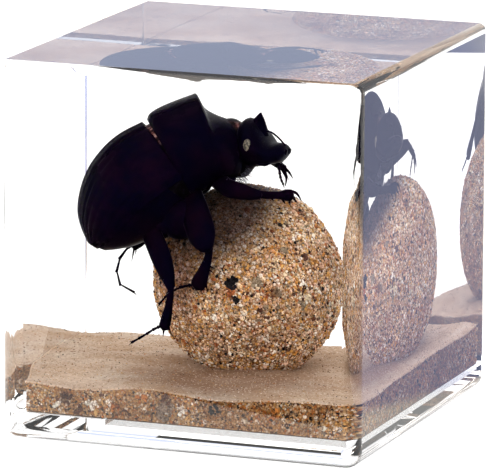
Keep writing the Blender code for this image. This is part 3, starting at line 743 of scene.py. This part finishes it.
# legs in mm: each limb is a run of (x, y, z, width) with its thinness; spikes are root, tip, radius
legs = {
    "fore_leg_right": {
        "limbs": [
            ([(0.7, -4.2, 43.9, 3.3), (3.2, -7.0, 42.9, 3.3), (5.6, -8.2, 42.65, 3.0), (7.4, -7.8, 42.3, 2.4),
              (9.0, -6.6, 42.05, 1.6)], 0.7),
            ([(7.6, -7.6, 42.3, 1.3), (9.8, -5.5, 41.95, 1.4), (11.6, -3.2, 41.8, 1.4), (12.5, -2.1, 41.75, 2.0),
              (13.4, -1.1, 41.7, 2.0)], 0.5),
            ([(13.1, -1.1, 42.3, 0.6), (14.1, -0.3, 42.0, 0.5), (14.9, 0.2, 40.7, 0.15)], 0.8),
        ],
        "spikes": [((13.3, -1.0, 41.7), (14.3, -0.2, 40.3), 0.45), ((13.0, -1.1, 41.0), (13.2, -0.9, 39.5), 0.26),
                   ((12.1, -2.3, 41.1), (12.5, -2.0, 40.2), 0.35), ((10.6, -4.4, 41.4), (10.9, -4.2, 40.8), 0.28)],
        "tarsus": [],
    },
    "mid_leg_right": {
        "limbs": [
            ([(-3.8, -6.0, 41.4, 4.4), (-2.0, -9.2, 38.4, 5.3), (-0.2, -11.6, 34.9, 5.2),
              (0.9, -12.6, 32.8, 2.6)], 0.5),
            ([(1.4, -12.4, 34.4, 1.3), (1.1, -12.2, 31.6, 1.4), (0.3, -11.9, 29.2, 2.0), (-0.7, -11.5, 26.9, 2.8),
              (-1.1, -11.4, 26.0, 2.5)], 0.42),
        ],
        "spikes": [((0.8, -11.9, 30.0), (2.3, -11.8, 29.4), 0.3), ((0.6, -11.9, 29.5), (2.0, -11.7, 28.6), 0.28),
                   ((0.4, -11.6, 26.9), (0.8, -11.3, 25.2), 0.3), ((-0.5, -11.5, 26.0), (-0.3, -11.3, 24.9), 0.26)],
        "tarsus": [(-1.8, -11.3, 26.2), (-2.9, -11.1, 26.1), (-5.2, -10.7, 25.2), (-6.8, -10.4, 24.0),
                   (-8.2, -10.1, 22.4)],
    },
    "hind_leg_right": {
        "limbs": [
            ([(-11.4, -8.4, 36.6, 3.4), (-9.0, -10.4, 33.0, 3.8), (-7.0, -11.8, 29.2, 3.5),
              (-5.6, -12.4, 25.6, 1.6)], 0.55),
            ([(-5.6, -12.4, 26.2, 1.2), (-5.9, -12.3, 23.2, 1.3), (-6.5, -12.1, 20.3, 1.9),
              (-7.0, -12.0, 18.5, 2.0)], 0.5),
        ],
        "spikes": [((-6.2, -12.0, 19.1), (-5.7, -11.9, 17.5), 0.26), ((-7.0, -11.9, 18.3), (-7.2, -11.8, 16.9), 0.26),
                   ((-6.1, -12.2, 21.6), (-5.1, -12.1, 20.9), 0.2)],
        "tarsus": [(-7.6, -11.8, 18.7), (-8.7, -11.6, 18.2), (-10.6, -11.2, 16.9), (-13.0, -11.0, 15.4)],
    },
    "fore_leg_left": {
        "limbs": [
            ([(0.4, 4.0, 44.9, 3.2), (3.2, 8.8, 46.3, 3.2), (5.6, 10.9, 46.9, 2.0)], 0.7),
            ([(5.0, 10.7, 47.2, 1.3), (6.6, 11.2, 46.2, 1.6), (7.9, 11.5, 45.35, 1.5), (9.3, 11.6, 44.5, 1.2)], 0.5),
            ([(9.2, 11.6, 44.7, 0.6), (10.1, 11.5, 44.0, 0.45), (10.8, 11.4, 43.0, 0.12)], 0.9),
            ([(8.9, 11.5, 44.5, 0.8), (9.4, 11.3, 43.6, 0.5), (9.7, 11.2, 42.8, 0.4), (9.5, 11.1, 41.6, 0.15)], 0.9),
        ],
        "spikes": [((9.3, 11.6, 44.4), (10.1, 11.6, 42.5), 0.2), ((8.2, 11.5, 45.9), (9.1, 11.7, 45.7), 0.2)],
        "tarsus": [(8.3, 11.2, 45.0), (8.6, 10.6, 44.0), (9.0, 9.8, 43.0), (9.6, 9.0, 42.2)],
    },
    "mid_leg_left": {
        "limbs": [
            ([(-5.2, 2.0, 41.8, 3.2), (-5.6, 6.6, 42.8, 3.3), (-5.5, 11.4, 44.2, 2.3)], 0.6),
            ([(-5.2, 11.4, 45.0, 1.4), (-7.2, 12.5, 41.2, 1.7), (-9.0, 13.3, 37.9, 2.6),
              (-9.6, 13.6, 36.8, 2.3)], 0.45),
        ],
        "spikes": [((-9.2, 13.4, 37.2), (-9.4, 13.2, 35.6), 0.28), ((-8.4, 13.2, 38.4), (-9.6, 13.2, 38.0), 0.24)],
        "tarsus": [(-9.8, 13.7, 37.0), (-10.8, 13.9, 36.0), (-11.8, 14.0, 35.2), (-12.8, 14.1, 34.5)],
    },
    "hind_leg_left": {
        "limbs": [
            ([(-12.6, 1.0, 36.2, 3.4), (-14.0, 4.6, 34.0, 3.4), (-14.6, 7.2, 31.6, 2.0)], 0.55),
            ([(-14.4, 7.2, 32.0, 1.4), (-15.8, 6.6, 30.6, 1.8), (-17.0, 6.0, 30.0, 2.2)], 0.45),
        ],
        "spikes": [((-16.7, 6.0, 29.9), (-17.3, 6.1, 26.9), 0.26), ((-16.4, 6.1, 29.6), (-16.6, 6.1, 28.2), 0.2)],
        "tarsus": [(-16.8, 6.0, 30.1), (-18.0, 5.9, 29.4), (-19.4, 6.0, 27.5), (-20.0, 6.0, 25.2),
                   (-19.4, 6.0, 22.9), (-17.0, 6.0, 21.8)],
    },
}


# feet in mm: segments that widen by the flare and lap over the next, then two claws
foot = {"segments": 5, "overlap": 0.12, "root": 0.186, "flare": 1.75, "taper": 0.92,
        "claw": 0.8, "clawAside": 0.35, "clawDown": -0.25, "clawRoot": 0.1}


def addTarsus(bm, points):
    run = [Vector(p) * mm for p in curveThrough(points, perGap=5)]
    ends = [run[round(i * (len(run) - 1) / foot["segments"])] for i in range(foot["segments"] + 1)]
    root = foot["root"]
    for near, far in zip(ends, ends[1:]):
        addSpike(bm, near, far + (far - near) * foot["overlap"], root * mm, sides=8, point=foot["flare"])
        root *= foot["taper"]
    ahead = (ends[-1] - ends[-2]).normalized() * foot["claw"]
    for side in (-1, 1):
        claw = ahead + Vector((0, foot["clawAside"] * side, foot["clawDown"]))
        addSpike(bm, ends[-1], ends[-1] + claw * mm, foot["clawRoot"] * mm)


for name, leg in legs.items():
    bm = bmesh.new()
    for points, thin in leg["limbs"]:
        growTube(bm, points, sides=14, thin=thin)
    for root, tip, radius in leg["spikes"]:
        addSpike(bm, Vector(root) * mm, Vector(tip) * mm, radius * mm, sides=7)
    if leg["tarsus"]:
        addTarsus(bm, leg["tarsus"])
    keepChitin(name + "_limb", bm, legBlack, (name,))
print("legs made")

bristles = {"seed": 31, "spread": 0.25, "lengths": (0.6, 1.3), "rows": [
    # root line from and to, lean, length, count, thickness in mm
    ((4.2, -3.6, 44.0), (6.2, -3.4, 46.2), (0.9, -0.1, -0.35), 1.5, 46, 0.05),
    ((3.8, -2.6, 43.6), (5.4, -2.6, 44.6), (0.8, 0.0, -0.6), 1.3, 20, 0.05),
    ((5.0, -8.0, 43.6), (11.6, -3.2, 42.3), (0.45, 0.0, 0.6), 0.8, 150, 0.045),
    ((3.0, -7.2, 44.0), (5.6, -8.1, 43.6), (0.4, -0.2, 0.6), 0.7, 30, 0.045),
    ((7.6, -7.6, 41.7), (12.2, -2.4, 40.8), (0.25, -0.1, -0.5), 0.4, 30, 0.04),
    ((1.3, -12.5, 34.4), (-0.3, -11.7, 27.6), (0.6, 0.0, -0.3), 0.45, 34, 0.04),
    ((-7.2, -12.4, 27.6), (-5.9, -12.4, 24.6), (-0.5, -0.2, -0.3), 0.4, 16, 0.04),
    ((-6.4, -12.4, 22.6), (-7.4, -12.0, 18.8), (-0.5, -0.1, -0.3), 0.45, 22, 0.04),
    ((-20.6, -8.0, 30.9), (-14.0, -6.4, 31.8), (-0.1, -0.2, -0.6), 0.4, 30, 0.04),
    ((7.6, -2.4, 46.6), (11.6, -0.8, 47.8), (0.3, -0.2, -0.6), 0.4, 24, 0.04),
    ((7.0, 10.8, 46.9), (9.4, 11.4, 45.0), (0.5, 0.1, 0.4), 0.4, 16, 0.04),
]}


def nudge(pick, spread):
    return Vector([pick.uniform(-spread, spread) for axis in range(3)])


pick = random.Random(bristles["seed"])
bm = bmesh.new()
for start, end, lean, length, count, thick in bristles["rows"]:
    for i in range(count):
        root = Vector(start).lerp(Vector(end), pick.random()) + nudge(pick, bristles["spread"])
        way = (Vector(lean) + nudge(pick, bristles["spread"])).normalized()
        tip = root + way * length * pick.uniform(*bristles["lengths"])
        addSpike(bm, root * mm, tip * mm, thick * mm, sides=3)
keepChitin("bristles", bm, hairGrey, smooth=180)

# horn: x, z, half depth and half width of its rings
horn = {"rings": [(6.8, 51.6, 2.4, 2.3), (7.15, 53.1, 1.6, 1.4), (7.5, 54.4, 0.8, 0.65), (7.68, 55.2, 0.2, 0.18)],
        "tilt": -0.12, "caps": (0.1, 0.2)}
eye = {"place": (6.9, 5.35, 50.2), "radii": (0.9, 0.9, 1.25), "facets": 2600.0,
       "tones": [(0.25, (0.20, 0.18, 0.135)), (0.6, (0.045, 0.04, 0.035))]}
bm = bmesh.new()
loft(bm, [addRing(bm, Vector((x, 0, z)) * mm, Vector((0, wide, 0)) * mm, Vector((deep, 0, horn["tilt"])) * mm, 20)
          for x, z, deep, wide in curveThrough(horn["rings"], perGap=4)], horn["caps"])
bmesh.ops.transform(bm, matrix=headTurn, verts=bm.verts)
keepChitin("horn", bm, coarseBlack)
eyeMaterial, tree, shader = startMaterial("eyeBeige", Roughness=0.4, Specular_IOR_Level=0.3)
place = addNode(tree, "TexCoord")
cells = addPattern(tree, place, "TexVoronoi", Scale=eye["facets"])
tree.links.new(addRamp(tree, cells.outputs["Distance"], eye["tones"]), shader.inputs["Base Color"])
for side, name in ((-1, "eye_right"), (1, "eye_left")):
    x, y, z = eye["place"]
    bm = bmesh.new()
    addEgg(bm, (x, y * side, z), eye["radii"], around=24, rows=16, turn=headTurn)
    keepChitin(name, bm, eyeMaterial, smooth=180)
# a feeler arched over the nose, two pairs of feelers under the head, and the two low points of the nose
feelers = {"arch": [(8.9, -0.5, 52.3, 0.30), (9.8, -0.5, 52.15, 0.34), (11.1, -0.5, 51.3, 0.34),
                    (12.3, -0.4, 50.1, 0.30)],
           "pairs": [[(7.4, 3.4, 47.4, 0.3), (8.5, 3.9, 47.0, 0.28), (9.3, 3.8, 46.9, 0.5), (9.9, 3.4, 47.0, 0.45),
                      (10.3, 3.1, 47.2, 0.2)],
                     [(10.3, 1.2, 47.4, 0.4), (10.9, 1.3, 47.1, 0.35), (11.4, 1.3, 47.1, 0.15)]],
           "points": ((11.8, 1.0, 49.2), (12.8, 0.9, 49.0)), "pointRadius": 0.8, "pointTip": 0.6,
           "sides": 8, "thin": 0.9}
bm = bmesh.new()
growTube(bm, feelers["arch"], feelers["sides"], feelers["thin"])
for points in feelers["pairs"]:
    for side in (-1, 1):
        growTube(bm, [(x, y * side, z, width) for x, y, z, width in points], feelers["sides"], feelers["thin"])
for side in (-1, 1):
    root, tip = (Vector((x, y * side, z)) * mm for x, y, z in feelers["points"])
    addSpike(bm, root, tip, feelers["pointRadius"] * mm, sides=10, point=feelers["pointTip"])
bmesh.ops.transform(bm, matrix=headTurn, verts=bm.verts)
keepChitin("feelers", bm, legBlack)
print("head details made")

# floor, sky and light: pale sheets around the block, and a sky that is dark below the horizon
studio = {"floor": 0.2, "floorGlow": 1.0, "roughness": 0.9, "depth": 0.3, "sideDepth": 0.5,
          # the floor that the right face mirrors toward the camera is blue-grey, inside all of these edges
          "aside": (0.26, 0.33, 0.70),
          "asideEdges": [((0.935, 0.355, 0.0), 0.043, 0.050), ((0.935, -0.355, 0.0), -0.004, 0.012),
                         ((0.0, -1.0, 0.0), -0.44, -0.36), ((-1.0, 0.0, 0.0), -0.26, -0.17),
                         ((0.0, 1.0, 0.0), -0.10, -0.05)],
          # sheets across the camera's heading: near edge, far edge, width; the front face mirrors the gap
          # between them, which keeps the beetle black
          "sheets": [(-0.0645, 2.9, 3.0), (-3.0, -0.31, 6.0)],
          # sheets at the sides: degrees turned, middle, size
          "sideSheets": [(-19.9, (-0.7144, -0.15), (1.4, 0.34)), (0.0, (1.57, -0.61), (3.0, 1.2))],
          "sky": (0.66, 0.74, 1.0), "skyStrength": 1.05, "frontSky": (1.0, 0.93, 0.84, 1.0), "frontStrength": 3.9,
          "facing": (-0.7, 0.15), "horizon": (-0.07, -0.04),
          # the part of the sky that the top face mirrors toward the camera is blue-grey
          "mirroredWay": (-0.3655, 0.9155, 0.1685), "mirroredReach": (0.9974, 0.9986)}
floorMaterial, tree, shader = startMaterial("paleFloor", Base_Color=(studio["floor"],) * 3 + (1,),
                                            Roughness=studio["roughness"], Emission_Strength=studio["floorGlow"])
place = addNode(tree, "TexCoord").outputs["Object"]
shares = [addFade(tree, addDot(tree, place, heading), low, high) for heading, low, high in studio["asideEdges"]]
aside = shares[0]
for share in shares[1:]:
    aside = timesValue(tree, aside, share)
tree.links.new(addRamp(tree, aside, [(0.0, white), (1.0, studio["aside"])]), shader.inputs["Emission Color"])


def addSheet(bm, turn, middle, size):
    bmesh.ops.create_grid(bm, x_segments=1, y_segments=1, size=0.5,
                          matrix=turn @ Matrix.Translation(middle) @ Matrix.Diagonal((*size, 1.0, 1.0)))


bm = bmesh.new()
for near, far, wide in studio["sheets"]:
    addSheet(bm, Matrix.Rotation(azimuth, 4, "Z"), (0, (near + far) / 2, -studio["depth"] * mm), (wide, far - near))
for turned, middle, size in studio["sideSheets"]:
    addSheet(bm, Matrix.Rotation(math.radians(turned), 4, "Z"), (*middle, -studio["sideDepth"] * mm), size)
floor = makeObject("floor", bm, floorMaterial)
world = bpy.data.worlds.new("studio")
scene.world = world
world.use_nodes = True
tree = world.node_tree
background = tree.nodes["Background"]
heading = addNode(tree, "TexCoord").outputs["Generated"]
parts = addNode(tree, "SeparateXYZ")
tree.links.new(heading, parts.inputs[0])
facing = addFade(tree, parts.outputs["Y"], *studio["facing"])
near = addFade(tree, addDot(tree, heading, studio["mirroredWay"]), *studio["mirroredReach"])
skyColour = addNode(tree, "Mix", data_type="RGBA")
skyColour.inputs[6].default_value = studio["frontSky"]
tree.links.new(facing, skyColour.inputs[0])
tree.links.new(addRamp(tree, near, [(0.0, white), (1.0, studio["sky"])]), skyColour.inputs[7])
tree.links.new(skyColour.outputs[2], background.inputs["Color"])
strength = addNode(tree, "MapRange")
strength.inputs["To Min"].default_value = studio["frontStrength"]
strength.inputs["To Max"].default_value = studio["skyStrength"]
tree.links.new(facing, strength.inputs["Value"])
above = addFade(tree, parts.outputs["Z"], *studio["horizon"])
tree.links.new(timesValue(tree, strength.outputs["Result"], above), background.inputs["Strength"])
print("studio made")
scene.view_settings.view_transform = "Standard"
